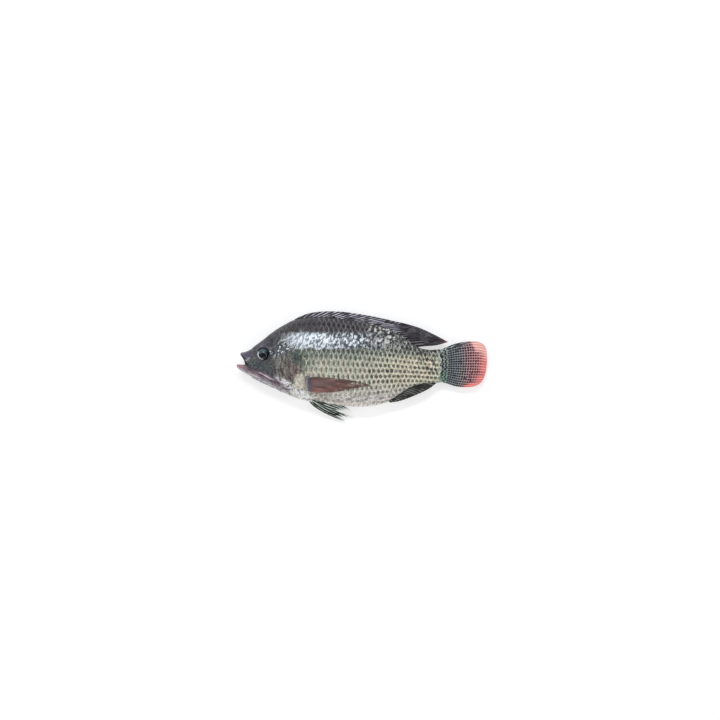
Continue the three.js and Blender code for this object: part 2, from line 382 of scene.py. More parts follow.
def add_sheet(name, columns, rows, thick=False):
    """A flat unit grid to be shaped; a thick one has two faces and a rim round them."""
    bpy.ops.object.select_all(action="DESELECT")
    bpy.ops.mesh.primitive_grid_add(x_subdivisions=columns, y_subdivisions=rows, size=1)
    piece = bpy.context.object
    piece.name = piece.data.name = name
    if thick:
        apply(piece, "SOLIDIFY", thickness=1, offset=0)
    flat = corners(piece.data)
    return piece, flat[:, 0] + 0.5, flat[:, 1] + 0.5, np.sign(np.round(flat[:, 2], 3))


def keep_value(mesh, name, values):
    """Keeps a number at every corner, for the finish to read."""
    attribute = mesh.attributes.new(name, "FLOAT", "POINT")
    attribute.data.foreach_set("value", np.asarray(values, np.float32).ravel())


def loop_corners(mesh):
    """Which corner of the mesh each face corner is."""
    index = np.zeros(len(mesh.loops), np.int32)
    mesh.loops.foreach_get("vertex_index", index)
    return index


def keep_map(mesh, name, u, v):
    """Keeps a UV map, given at every face corner."""
    places = np.column_stack([u, v]).astype(np.float32)
    mesh.uv_layers.new(name=name).data.foreach_set("uv", places.ravel())


def complete(piece, material, nodes, crease=35):
    """Turns the faces outwards, rounds the shading, and ties the piece to the fish."""
    in_edit_mode(piece, (bpy.ops.mesh.normals_make_consistent, {"inside": False}))
    only(piece)
    bpy.ops.object.shade_smooth_by_angle(angle=math.radians(crease))
    piece.data.materials.clear()
    piece.data.materials.append(material)
    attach(piece, "root")
    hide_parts(*nodes)


# Tools for making finishes
class Value:
    """A socket in a finish. Ordinary arithmetic on it adds the Math nodes."""

    def __init__(self, finish, socket):
        self.finish, self.socket = finish, socket

    def __add__(self, other):
        return self.finish.math("ADD", self, other)

    def __sub__(self, other):
        return self.finish.math("SUBTRACT", self, other)

    def __rsub__(self, other):
        return self.finish.math("SUBTRACT", other, self)

    def __mul__(self, other):
        return self.finish.math("MULTIPLY", self, other)

    def __truediv__(self, other):
        return self.finish.math("DIVIDE", self, other)

    def __pow__(self, other):
        return self.finish.math("POWER", self, other)

    __radd__, __rmul__ = __add__, __mul__


class Finish:
    """A procedural material. Its x and y are the fish's own millimetres."""

    def __init__(self, name, roughness=0.35, coat=0.6, coat_roughness=0.12, specular=0.35):
        self.material = bpy.data.materials.new(name)
        self.material.use_nodes = True
        self.tree = self.material.node_tree
        self.shader = self.tree.nodes["Principled BSDF"]
        settings = {
            "Roughness": roughness, "Coat Weight": coat, "Coat Roughness": coat_roughness,
            "IOR": 1.4, "Specular IOR Level": specular,
        }
        for name, value in settings.items():
            self.shader.inputs[name].default_value = value
        self.place = self.node("ShaderNodeTexCoord", output="Object")
        x, y = self.parts(self.place)
        self.x, self.y = x * 1000 - JAW_X, y * 1000 - AXIS_Y

    def node(self, kind, settings=None, inputs=None, output=0):
        """Adds a node, sets it up, and fills its sockets with numbers or links."""
        made = self.tree.nodes.new(kind)
        for key, value in (settings or {}).items():
            if key == "stops":
                self.set_stops(made.color_ramp, value)
            else:
                setattr(made, key, value)
        for key, value in (inputs or {}).items():
            if isinstance(value, Value):
                self.tree.links.new(value.socket, made.inputs[key])
            else:
                made.inputs[key].default_value = value
        return Value(self, made.outputs[output])

    def parts(self, place):
        """The first two numbers of a vector."""
        split = self.node("ShaderNodeSeparateXYZ", {}, {0: place}).socket.node.outputs
        return Value(self, split[0]), Value(self, split[1])

    @staticmethod
    def set_stops(ramp, stops):
        """Sets a colour ramp to the stops, each a place and a colour."""
        while len(ramp.elements) < len(stops):
            ramp.elements.new(0.5)
        for element, (at, colour) in zip(ramp.elements, stops):
            element.position = at
            element.color = mixed(colour)

    def math(self, operation, *values):
        """The result of a Math node on numbers or values."""
        return self.node("ShaderNodeMath", {"operation": operation}, dict(enumerate(values)))

    def rise(self, value, low, high):
        """Nought below low, one above high, and smooth between them."""
        inputs = {"Value": value, "From Min": low, "From Max": high}
        return self.node("ShaderNodeMapRange", {"interpolation_type": "SMOOTHSTEP"}, inputs)

    def within(self, value, low, high, soft):
        """One from low to high and nought outside, over soft either way."""
        return self.rise(value, low - soft, low + soft) * (1 - self.rise(value, high - soft, high + soft))

    def spot(self, at, size, lean=0.0, soft=0.5, x=None, y=None):
        """One inside an oval, nought outside it; lean turns it, as rise over run."""
        x, y = x or self.x, y or self.y
        across = y - at[1] - (x - at[0]) * lean
        far = self.math("SQRT", ((x - at[0]) / size[0]) ** 2 + (across / size[1]) ** 2)
        return 1 - self.rise(far, 1 - soft, 1 + soft)

    def mix(self, share, colour, other, blend="MIX"):
        """A colour is a socket, four values as the shader keeps them, or everyday red, green and blue."""
        settings = {"data_type": "RGBA", "blend_type": blend}
        return self.node("ShaderNodeMix", settings, {0: share, 6: mixed(colour), 7: mixed(other)}, output=2)

    def daub(self, colour, *patches):
        """Soft oval patches over colour, each given as its middle, half size, lean, strength and colour."""
        for at, size, lean, strength, patch in patches:
            colour = self.mix(self.spot(at, size, lean) * strength, colour, patch)
        return colour

    def speckle(self, colour, *layers):
        """Flecks over colour. A layer is its size, share, stretch, turn, seed, strength and colour."""
        for size, share, stretch, turn, seed, strength, fleck in layers:
            colour = self.mix(self.flecks(size, share, stretch, turn, seed) * strength, colour, fleck)
        return colour

    def ramp(self, value, low, high, stops):
        """A colour that follows value, from stops given in value's own unit."""
        share = self.node("ShaderNodeMapRange", {}, {"Value": value, "From Min": low, "From Max": high})
        placed = [((at - low) / (high - low), colour) for at, colour in stops]
        return self.node("ShaderNodeValToRGB", {"stops": placed}, {0: share})

    def noise(self, size, stretch=(1, 1, 1), turn=0, detail=3, seed=0):
        """Soft noise about a half. Its grains are size in millimetres, stretched, then turned by degrees."""
        inputs = {0: self.place, 1: (seed, seed, 0), 2: (0, 0, math.radians(turn)), 3: stretch}
        place = self.node("ShaderNodeMapping", {"vector_type": "TEXTURE"}, inputs)
        return self.node("ShaderNodeTexNoise", {}, {"Vector": place, "Scale": 1000 / size, "Detail": detail})

    def flecks(self, size, share, stretch=(1, 1, 1), turn=0, seed=0):
        """Flecks that cover about that share of the surface."""
        edge = 0.5 + (0.5 - share) * 0.34
        return self.rise(self.noise(size, stretch, turn, 2, seed), edge - 0.035, edge + 0.035)

    def kept(self, name):
        """A number kept at the mesh's corners."""
        return self.node("ShaderNodeAttribute", {"attribute_name": name}, output="Fac")

    def map_uv(self, name):
        """The two numbers of a UV map."""
        return self.parts(self.node("ShaderNodeUVMap", {"uv_map": name}))

    def feed(self, **sockets):
        """Links values to the shader's sockets, by their names."""
        for name, value in sockets.items():
            self.tree.links.new(value.socket, self.shader.inputs[name.replace("_", " ").title()])

    def bump(self, height, strength, depth):
        """Small relief, with depth in millimetres."""
        inputs = {"Strength": strength, "Distance": depth / 1000, "Height": height}
        self.feed(normal=self.node("ShaderNodeBump", {}, inputs))


def paint(red, green, blue):
    """A colour for the shader from its everyday 0 to 255 values."""
    def straight(value):
        value /= 255
        return value / 12.92 if value <= 0.04045 else ((value + 0.055) / 1.055) ** 2.4

    return straight(red), straight(green), straight(blue), 1.0


def mixed(colour):
    """A colour as the shader takes it; sockets and colours with four values stay as they are."""
    return paint(*colour) if isinstance(colour, tuple) and len(colour) == 3 else colour


def colour_property(name, text, red, green, blue):
    """A setting for a colour, with its default in everyday 0 to 255 values."""
    return FloatVectorProperty(
        name=name, description=text, subtype="COLOR", size=4, min=0, max=1, default=paint(red, green, blue)
    )


def length_property(name, text, default, low, high):
    """A setting for a length, in metres."""
    return FloatProperty(
        name=name, description=text, default=default, min=low, max=high, unit="LENGTH", subtype="DISTANCE"
    )


def power_property(name, text, default):
    """A setting for a light's power, in watts."""
    return FloatProperty(name=name, description=text, default=default, min=0, unit="POWER", subtype="POWER")


class TilapiaColours(bpy.types.PropertyGroup):
    """The colours that a user would change."""

    back: colour_property("Back", "Scales along the back", 82, 78, 84)
    upper: colour_property("Upper flank", "Scales above the middle of the flank", 148, 156, 146)
    flank: colour_property("Flank", "Scales along the middle of the flank", 216, 213, 198)
    belly: colour_property("Belly", "Skin of the belly", 232, 222, 214)
    mark: colour_property("Scale mark", "Dark lens in the middle of a scale", 74, 76, 62)
    rim: colour_property("Scale rim", "Pale free edge of a scale", 236, 233, 220)
    head: colour_property("Head", "Top of the head", 86, 83, 90)
    cheek: colour_property("Cheek", "Cheek between the mouth and the eye", 70, 82, 86)
    cover: colour_property("Gill cover", "Gill cover behind the cheek", 138, 135, 130)
    chin: colour_property("Chin", "Chin and throat", 142, 130, 138)
    fin: colour_property("Dark fin", "Membrane of the dorsal fin", 46, 41, 54)
    # Its pale streaks on the fin rays are partly painted highlight.
    ray: colour_property("Fin rays", "Spines and rays of the dorsal fin", 226, 224, 238)
    red: colour_property("Tail margin", "Rear margin of the tail fin", 236, 118, 112)
    brown: colour_property("Pectoral fins", "The pectoral fins", 150, 102, 96)


class TilapiaSizes(bpy.types.PropertyGroup):
    """The sizes that a user would change, on the real fish."""

    scale_step: length_property(
        "Scale step", "Length of each scale that shows, at the shoulder", 0.0059, 0.003, 0.012
    )
    scale_row: length_property(
        "Scale row", "Height from one row of scales to the next, at the shoulder", 0.008, 0.004, 0.015
    )
    scale_lift: length_property(
        "Scale lift", "How far a scale's free edge stands off the skin", 0.0005, 0.0001, 0.002
    )
    seed: IntProperty(
        name="Seed", description="Chooses how the scales differ from each other", default=4, min=0
    )


class StageSettings(bpy.types.PropertyGroup):
    """The light."""

    window: power_property("Strip light", "Power of the long light on the side of the back", 5.0)
    side: power_property("Side lights", "Power of each broad light beside the fish", 4.0)
    surround: FloatProperty(
        name="Surround", description="Strength of the even light from all round", default=0.5, min=0
    )


def trunk_colour(f, colours):
    """The colour of the trunk from belly to back, a little creamier towards the tail."""
    level = f.y + (f.noise(22, detail=2) - 0.5) * 16
    colour = f.ramp(level, -46, 60, [
        (-46, colours.belly), (-34, (228, 223, 214)), (-22, (220, 217, 205)),
        (-6, colours.flank), (6, (196, 195, 180)), (14, colours.upper), (24, (100, 112, 108)),
        (34, (84, 86, 90)), (44, colours.back), (60, (66, 62, 70)),
    ])
    colour = f.mix(f.spot((72, -29), (17, 7), lean=-0.4) * 0.8, colour, (240, 238, 240))
    rear = f.rise(f.x, 150, 215) * f.within(f.y, -22, 12, 8)
    colour = f.mix(rear * 0.9, colour, (251, 242, 214))
    shoulder = f.rise(f.x, 150, 190) * f.rise(f.y, 14, 24)
    colour = f.mix(shoulder * 0.6, colour, (130, 128, 122))
    colour = f.mix(f.spot((84.5, -18), (3.4, 8.4)) * 0.75, colour, (112, 108, 126))
    collar = (1 - f.rise(f.x, 80, 104)) * f.within(f.y, -2, 24, 6)
    colour = f.mix(collar * 0.7, colour, (112, 130, 118))
    tint = f.mix(f.rise(f.noise(8, (1, 2.4, 1)), 0.4, 0.6), (243, 250, 245), (253, 246, 237))
    return f.mix(f.rise(f.y, -40, -10) * 0.5 + 0.3, colour, tint, "MULTIPLY")


def scale_finish(colours):
    """Overlapping scales: a dark lens in the middle of each, a pale free edge and a pearly gloss, with
    painted glints and sparkles along the upper flank and painted shade over each scale's covered front.
    """
    f = Finish("scales", coat=0.22, coat_roughness=0.1)
    out, across = f.map_uv("plate")
    tone = f.kept("tone")
    grain = f.noise(1.7, detail=2)
    rear = f.rise(f.x, 135, 185)
    wander = (grain - 0.5) * (rear * 0.2 + 0.12)
    drift = (f.noise(4, seed=20) - 0.5) * 0.3
    rows = rear * f.within(f.y, -18, 2, 6)
    size = (rear * 0.05 + rows * 0.12 + tone * 0.05 + 0.1, rear * -0.02 + tone * 0.05 + 0.17)
    at = {"x": out + wander + drift, "y": across + wander - drift * 0.7}
    lens = f.spot((0.61, 0.5), size, soft=0.42, **at)
    black, faint, half, full = ((share, share, share, 1) for share in (0, 0.5, 0.85, 1))
    strong = f.ramp(f.y, -46, 60, [(-46, black), (-41, faint), (-30, half), (-16, full), (60, full)])
    dark = f.mix(rear, f.mix(f.rise(f.y, 8, 30), colours.mark, (28, 27, 30)), (40, 40, 32))
    nape = f.rise(f.y, 34, 44) * (1 - f.rise(f.x, 84, 112))
    strong = strong * (1 - nape * 0.6) * (f.rise(f.x, 84, 132) * 0.35 + 0.65)
    colour = f.mix(lens * strong * (tone * 0.24 + 0.7), trunk_colour(f, colours), dark)
    edge = f.rise(out + wander * 0.5, 0.84, 0.93)
    rim = f.mix(f.rise(f.y, 10, 40), colours.rim, (150, 146, 150))
    colour = f.mix(edge * (rear * 0.3 + 0.6 - nape * 0.4), colour, rim)
    colour = f.mix((1 - f.rise(f.x + (grain - 0.5) * 12, 38, 58)) * 0.8, colour, colours.head)

    shoulder = f.rise(f.y, 18, 28) * f.within(f.x, 158, 228, 8)
    pale = f.rise(f.y, 24, 36) * 0.4 + 0.6
    front = f.spot((62, 30), (17, 9), lean=0.5)
    chalk = (1 - f.rise(f.y, -38, -26)) * f.rise(f.x, 64, 80)
    # Painted highlight: the pale flecks on the shoulder (244, 244, 240) and around the front of the band
    # (226, 226, 236) are painted sparkles of light.
    colour = f.speckle(
        colour,
        (3.2, 0.4, (1, 1.8, 1), -35, 9, shoulder * 0.9, (24, 23, 28)),
        (3.2, 0.36, (1, 1.8, 1), -35, 6, shoulder * pale, (244, 244, 240)),
        (2.6, 0.3, (1, 2, 1), -45, 15, front, (226, 226, 236)),
        (2.6, 0.3, (1, 2, 1), -45, 16, front * 0.7, (36, 34, 48)),
        (3.4, 0.42, (1.6, 1, 1), 0, 12, chalk * f.rise(f.y, -46, -38) * 0.6, (120, 116, 114)),
        (4, 0.36, (1.6, 1, 1), 0, 13, chalk * 0.6, (255, 251, 246)),
    )
    shade = f.rise(grain, 0.62, 0.4) * f.rise(f.y, -47, -39) * 0.496
    colour = f.mix(shade, colour, (128, 126, 120), "MULTIPLY")
    colour = f.mix(f.spot((98, -30), (16, 7), lean=-0.3) * 0.6, colour, (206, 202, 196), "MULTIPLY")
    silver = f.spot((78, -33), (11, 5), lean=-0.4) * f.rise(f.noise(4, seed=14), 0.36, 0.5)
    colour = f.mix(silver * 0.7, colour, (250, 252, 252))
    # Painted shade: each scale is darker over its covered front, where it runs under the free edges of the
    # scales ahead.
    colour = f.mix(f.rise(out, 0.5, 0.34) * 0.55, colour, (70, 70, 62), "MULTIPLY")

    # Painted highlight: a band of bright slanted glint strokes along the upper flank stands in for the long
    # light's reflection. The band colour between the strokes is painted paler near the head and darker
    # towards the tail. The same strokes are also a little smoother and faintly metallic.
    gaps = f.rise(f.x, 96, 140) * f.flecks(3.2, 0.5, (1, 1.6, 1), -30, seed=30)
    painted_glint = f.flecks(1.9, 0.56, (1, 2.6, 1), turn=-32) * (1 - gaps)
    band = f.y + (f.noise(9) - 0.5) * 9
    painted_highlight_band = f.rise(f.x, 48, 76) * (1 - f.rise(f.x, 140, 184) * 0.9) * f.within(band, 22.5, 41.5, 2)
    colour = f.mix(painted_glint * painted_highlight_band, colour, (220, 228, 236))
    between = f.mix(f.rise(f.x, 90, 120), (150, 158, 168), (68, 76, 88))
    colour = f.mix((1 - painted_glint) * painted_highlight_band * 0.55, colour, between)
    colour = f.mix(f.rise(f.x, 237, 243) * 0.5, colour, (172, 184, 170))
    waves = f.rise(f.x + f.y * 1.2, 208, 240) * 0.85
    colour = f.speckle(colour, (3, 0.36, (1, 2.2, 1), 10, 8, waves, (34, 44, 42)))
    f.feed(base_color=colour, metallic=painted_glint * painted_highlight_band * 0.1, roughness=0.52 - painted_glint * 0.2 - tone * 0.08)
    f.bump(f.math("SINE", out * 95) * 0.2 + f.noise(2.4, (1, 2, 1), turn=-28) + grain * 0.5, 0.45, 0.25)
    return f.material


def head_colour(f, colours, grain, streak, top):
    """The head, from the pale chin up to the dark brow, with the gill cover and the lips."""
    low = f.y + f.x * 0.53 - 2  # height over the lower outline of the head
    # The palest stop, along the lower outline, is partly the pale throat and partly a painted highlight along
    # the edge.
    head = f.ramp(low + (grain - 0.5) * 8, 0, 40, [
        (0, (206, 198, 204)), (3, (150, 138, 146)), (7, colours.chin), (11, (92, 90, 90)),
        (20, (84, 84, 84)), (40, (76, 74, 78)),
    ])
    head = f.mix(top, head, colours.head)
    head = f.daub(head, ((24, 2), (16, 7), -0.1, 0.85, colours.cheek))
    cover = f.rise(f.x, 42, 52) * f.rise(low, 7, 14) * (1 - top)
    head = f.mix(cover, head, colours.cover)
    head = f.mix(cover * f.rise(streak, 0.5, 0.62) * 0.8, head, (172, 166, 154))
    head = f.mix(f.rise(streak, 0.5, 0.4) * 0.75 * f.rise(f.x, 34, 46), head, (50, 46, 44))
    head = f.daub(
        head,
        ((66, -4), (9, 13), 0, 0.5, (102, 74, 70)),
        ((73, 13), (9, 9), 0, 0.7, (62, 88, 78)),
    )
    head = f.speckle(
        head,
        (2.4, 0.25, (1, 1.6, 1), -30, 0, f.spot((27, 8), (20, 14)) * 0.5, (128, 136, 124)),
        (2.2, 0.38, (1, 1, 1), 0, 2, f.rise(low, 6, 12) * 0.5, (36, 36, 42)),
        (2.4, 0.3, (1, 2, 1), -40, 18, top * 0.55, (142, 138, 156)),
    )
    silver = f.math("MINIMUM", f.spot((59, -19.5), (11, 4.4), -0.55) + f.spot((77, -32), (10, 5), -0.4), 1)
    plates = f.mix(f.flecks(3, 0.35, (2.6, 1, 1), -28), (252, 250, 252), (132, 130, 134))
    head = f.mix(silver, head, plates)
    # The first patch, a pale pink streak on the lower jaw, is a painted highlight.
    head = f.daub(
        head,
        ((37, -11), (9, 1.2), -0.5, 0.9, (236, 216, 228)),
        ((32, -10.6), (8, 0.9), -0.5, 0.7, (116, 58, 72)),
        ((50, -18), (8, 1.6), -0.4, 0.6, (96, 66, 72)),
    )
    jaw = (1 - f.rise(low, 8, 12)) * (1 - f.rise(f.x, 44, 54))
    jaw = f.rise(f.noise(1.8, (5, 1, 1), -28, seed=5), 0.42, 0.62) * jaw
    head = f.mix(jaw * 0.8, head, (74, 60, 70))
    snout = f.mix(f.noise(3), (60, 52, 74), (136, 128, 150))
    head = f.daub(
        head,
        ((12.5, -1.6), (6, 1.7), -0.6, 0.8, (92, 90, 106)),
        ((20, -6.6), (6, 1.1), -0.5, 0.5, (164, 116, 116)),
        ((10, 15.4), (9, 4.4), 0, 0.85, snout),
    )
    # Painted shade: a near-black patch at the corner of the mouth stands for the shadowed gap between the
    # lips.
    head = f.mix(f.spot((9.8, 8), (3.6, 3), lean=-1.6, soft=0.4), head, (14, 12, 14))
    head = f.daub(head, ((5, 1.6), (6, 2.2), -0.4, 0.85, (188, 140, 146)))
    far = f.math("SQRT", (f.x - EYE_AT[0]) ** 2 + (f.y - EYE_AT[1]) ** 2)
    return f.mix(f.within(far, 6.9, 8.7, 0.5) * 0.6, head, (40, 36, 42)), silver


def skin_finish(colours):
    """Bare wet skin: the head, the gill covers, the throat and what shows between scales."""
    f = Finish("skin", roughness=0.36, coat_roughness=0.16)
    grain = f.noise(2.2, detail=4)
    streak = f.noise(2.2, (1, 6, 1), detail=3)
    top = f.rise(f.y - (f.x - 30) * 0.12 + (grain - 0.5) * 8, 17, 27)
    head, silver = head_colour(f, colours, grain, streak, top)
    temple = f.spot((60, 24), (19, 8), lean=0.35)
    # Painted highlight: pale sparkles of light on the temple, which are also made metallic.
    painted_sparkle = temple * f.flecks(2, 0.2, (1, 2, 1), turn=-40, seed=1)
    head = f.mix(temple * 0.7, head, (52, 66, 78))
    head = f.mix(painted_sparkle, head, (226, 234, 242))
    trunk = f.mix(0.6, trunk_colour(f, colours), (120, 120, 110), "MULTIPLY")
    colour = f.mix(f.rise(f.kept("behind"), -0.6, 1.2), head, trunk)
    pad = f.spot(FIN_PAD_AT, (6.8, 9.8), soft=0.25) * 0.9
    colour = f.mix(pad, colour, f.mix(f.noise(8), (255, 252, 240), (184, 172, 140)))
    colour = f.mix(f.rise(f.x, 78, 83) * pad, colour, (128, 126, 140))
    # The inside of the mouth goes from its pink lining at the lips to near black deep inside; the darkening
    # deeper in is painted shade.
    inside = f.kept("inside")
    colour = f.mix(f.rise(inside, 0, 0.3), colour, f.mix(inside, (168, 112, 116), (44, 18, 22)))
    colour = f.mix(f.rise(grain, 0.6, 0.4) * 0.45, colour, (110, 106, 106), "MULTIPLY")
    f.feed(
        base_color=colour, metallic=painted_sparkle * 0.7 + silver * 0.3, roughness=f.noise(5) * 0.3 + 0.18,
        coat_weight=0.5 - top * 0.3,
    )
    f.bump(grain + streak * 0.6, 0.6, 0.4)
    return f.material


def fin_finish(name, colour_of):
    """Thin wet membrane between rays. colour_of works out the colour from three values: the nearness
    of a ray, the share of the way across the rays, and the share of the way out along them.
    """
    f = Finish(name, roughness=0.45, coat=0.25, coat_roughness=0.2)
    across, outward = f.map_uv("fin")
    f.feed(base_color=colour_of(f, f.kept("ray"), across, outward))
    f.bump(f.noise(1.1, detail=3), 0.4, 0.15)
    return f.material


def dark_fin_colour(membrane, ray, streaks, deep_from, tip_from):
    """Dark membrane with pale streaks along the rays, partly the rays' own colour and partly painted
    highlight, deeper past the x of deep_from and red past tip_from.
    """
    def colour_of(f, ridge, across, outward):
        patch = f.noise(7, detail=3)
        colour = f.mix(f.rise(patch, 0.38, 0.62), membrane, (16, 14, 18))
        deep = f.rise(f.x, deep_from, deep_from + 20)
        colour = f.mix(deep * 0.9, colour, (20, 8, 18))
        # Pale streaks along the rays: partly the rays' own colour and partly painted highlight.
        share = f.rise(ridge, 0.5, 0.95) * f.rise(f.noise(5, (2.6, 1, 1), seed=3), 0.5 - streaks, 0.54)
        share = share * (f.rise(f.noise(8, seed=7), 0.4, 0.52) * 0.6 + 0.4)
        fold = f.rise(f.x, 84, 124) * 0.35 + 0.65
        colour = f.mix(share * (1 - deep * 0.72) * fold, colour, ray)
        tip = f.rise(f.x + (patch - 0.5) * 20, tip_from, tip_from + 14)
        return f.mix(tip * 0.7, colour, (134, 84, 76))
    return colour_of


def tail_colour(colours):
    """A pale net of rays and bars over black, green at the root and red along the rear."""
    def colour_of(f, ridge, across, outward):
        patch = f.noise(7, detail=3)
        bars = f.math("SINE", outward * 122 + (f.noise(12) - 0.5) * 5)
        rays = f.rise(ridge, 0.76, 0.99)
        gaps = f.rise(f.noise(4, seed=4), 0.26, 0.48)
        net = f.math("MAXIMUM", f.rise(bars, 0.55, 1) * 0.8, rays) * gaps
        drift = (patch - 0.5) * 24
        dark = f.mix(f.rise(f.x + drift, 264, 286), (8, 8, 14), (70, 14, 28))
        pale = f.mix(f.rise(outward, 0.35, 0.8), (158, 166, 170), (236, 178, 180))
        colour = f.mix(net, dark, pale)
        low = (1 - f.rise(across, 0.0, 0.24)) * f.rise(outward, 0.3, 0.7)
        high = f.rise(across, 0.72, 0.95) * f.rise(outward, 0.55, 0.8)
        fringe = outward + low * 0.22 + high * 0.24 + (f.noise(5, (2.4, 1, 1)) - 0.5) * 0.44
        pink = f.mix(f.rise(ridge, 0.4, 0.9), (240, 160, 148), (255, 222, 212))
        red = f.mix(f.rise(across, 0.55, 0.84), colours.red, pink)
        between = f.mix(f.rise(fringe, 0.84, 1.02), f.mix(0.3, red, (140, 40, 54)), red)
        red = f.mix(rays, between, f.mix(0.7, red, (255, 222, 216)))
        colour = f.mix(f.rise(fringe, 0.74, 0.96), colour, red)
        top = f.rise(across, 0.88, 0.96) * (1 - f.rise(outward, 0.5, 0.75))
        edge = f.mix(f.flecks(2.4, 0.4, (5, 1, 1), 20), (30, 28, 32), (170, 172, 172))
        colour = f.mix(top * 0.85, colour, edge)
        zigzag = f.math("PINGPONG", across * 9, 0.5) * 7
        strokes = f.rise(f.math("SINE", outward * 76 + zigzag + (f.noise(6) - 0.5) * 8), -0.5, 0.4)
        green = f.mix(f.rise(across, 0.1, 0.5), (158, 190, 174), (190, 200, 196))
        root = f.mix(strokes, (40, 58, 60), green)
        return f.mix(1 - f.rise(outward + (patch - 0.5) * 0.1, 0.12, 0.22), colour, root)
    return colour_of


def pectoral_colour(colours):
    """Clear brown membrane, grey down the middle and redder along its lower edge."""
    def colour_of(f, ridge, across, outward):
        streak = f.noise(2.4, (9, 1, 1), turn=-6)
        colour = f.mix(f.rise(streak, 0.4, 0.6), colours.brown, (84, 58, 56))
        colour = f.mix(f.spot((98, -19), (18, 4)) * 0.6, colour, (96, 84, 86))
        colour = f.mix((1 - f.rise(across, 0.02, 0.3)) * 0.6, colour, (156, 106, 102))
        colour = f.mix(f.rise(ridge, 0.6, 1) * 0.3, colour, (170, 128, 116))
        near = f.x + (f.noise(3, seed=6) - 0.5) * 5
        root = f.mix(f.rise(near, 82, 87), (176, 170, 160), (92, 88, 104))
        colour = f.mix(1 - f.rise(near, 86, 93), colour, root)
        clear = f.rise(across, 0.66, 1.0) * 0.7 + f.rise(outward, 0.45, 1) * 0.6
        alpha = f.math("MAXIMUM", 0.96 - clear * f.rise(streak, 0.62, 0.38) * 1.1 - clear * 0.25, 0.08)
        f.feed(alpha=alpha)
        return colour
    return colour_of


def pelvic_colour(colours):
    """Dark green membrane with pale rays."""
    def colour_of(f, ridge, across, outward):
        patch = f.noise(6, detail=3)
        colour = f.mix(f.rise(patch, 0.4, 0.6), (44, 60, 52), (8, 10, 12))
        share = f.rise(ridge, 0.6, 0.95) * f.rise(f.noise(5, (2, 1, 1), seed=2), 0.36, 0.52)
        colour = f.mix(share, colour, (220, 232, 222))
        return f.mix((1 - f.rise(outward, 0.0, 0.1)) * 0.7, colour, (16, 16, 18))
    return colour_of


def eye_finish():
    """A wet eye: black pupil, dark iris with a painted blue sheen above, and a pale crescent low in front
    that is partly a painted highlight.
    """
    f = Finish("eye", roughness=0.3, coat=0.4, coat_roughness=0.03, specular=0.1)
    x, y = f.x - EYE_AT[0], f.y - EYE_AT[1]
    far = f.math("SQRT", x**2 + y**2)
    grain = f.noise(1.6, detail=3)
    colour = f.mix(grain, (4, 4, 8), (24, 20, 28))
    # Painted reflection: a blue-grey sheen over the top of the iris.
    painted_sheen = f.rise(y - x * 0.25 + (grain - 0.5) * 4, 0.6, 3.6)
    colour = f.mix(painted_sheen * 0.85, colour, f.mix(grain, (36, 56, 68), (112, 132, 142)))
    middle = f.math("SQRT", (x - 0.6) ** 2 + (y + 1.5) ** 2)
    ring = f.within(middle, 3, 3.6, 0.3) * f.rise(x - y * 0.4, -1.5, 2)
    colour = f.mix(ring, colour, (92, 106, 114))
    colour = f.mix(1 - f.rise(middle, 2.6, 3), colour, (2, 3, 6))
    colour = f.mix(f.rise(far, 6, 6.6), colour, (18, 18, 22))
    # The pale crescent is partly the eye's pale rim and partly a painted highlight.
    crescent = f.within(far, 5.7, 6.9, 0.4) * f.rise(x * -0.84 - y * 0.54, 2.4, 4.6)
    colour = f.mix(crescent, colour, (244, 244, 250))
    f.feed(base_color=colour)
    return f.material


# The body
BODY_SIDES = 250
MOUTH_RINGS, TRUNK_RINGS = 40, 70
HEAD_STEP, HEAD_END = 0.6, 86  # from one ring of the head to the next, and where they stop
HEAD_FADE = (84, 90)  # where the head's relief dies away
SCALED_SINK, SINK_FADE = 0.15, (60, 80)  # how far the skin is sunk under the scales, and where that starts


def body_rows():
    """Stations of the body's rings: close together on the head, wider apart under the scales."""
    mouth = np.linspace(0, len(MOUTH), MOUTH_RINGS)
    head = station_of(np.arange(HEAD_START + HEAD_STEP, HEAD_END, HEAD_STEP))
    trunk = station_of(np.linspace(HEAD_END, BODY_END, TRUNK_RINGS))
    return np.concatenate([mouth, head, trunk])


class TILAPIA_OT_body(bpy.types.Operator):
    """Model the bare body, with the open mouth, the gill covers and the folds of the head"""

    bl_idname = "tilapia.body"
    bl_label = "Body"

    def execute(self, context):
        stations = body_rows()
        piece, u, v, _ = add_sheet("body_skin", BODY_SIDES, len(stations) + 1)
        place = np.round(v * (len(stations) + 1)).astype(int) - 1
        end = (place < 0) | (place >= len(stations))
        station = stations[np.clip(place, 0, len(stations) - 1)]
        angle = u * 2 * np.pi
        x, y = skin_point(station, angle)[:, :2].T
        relief = head_relief(x, y) * rise(station, LIP_RING + 1, len(MOUTH) + 2)
        relief = relief * (1 - rise(x, *HEAD_FADE)) + lip_relief(station)
        points = raised(station, angle, relief - SCALED_SINK * rise(x, *SINK_FADE))
        top = np.zeros(len(angle))
        middle = lay((skin_point(station, top) + skin_point(station, top + np.pi)) / 2)
        points[end] = middle[end]
        move_corners(piece.data, row(points))
        keep_value(piece.data, "behind", distance_to(SCALES_START, x, y) * rise(x, 20, 30) - 9 * (x < 25))
        keep_value(piece.data, "inside", 1 - rise(station, LIP_RING - 2.2, LIP_RING + 0.1))
        piece.data.uv_layers[0].name = "OFBake"
        in_edit_mode(piece, (bpy.ops.mesh.remove_doubles, {"threshold": 1e-6}))
        complete(piece, skin_finish(context.scene.tilapia_colours), ["body"], crease=60)
        return {"FINISHED"}


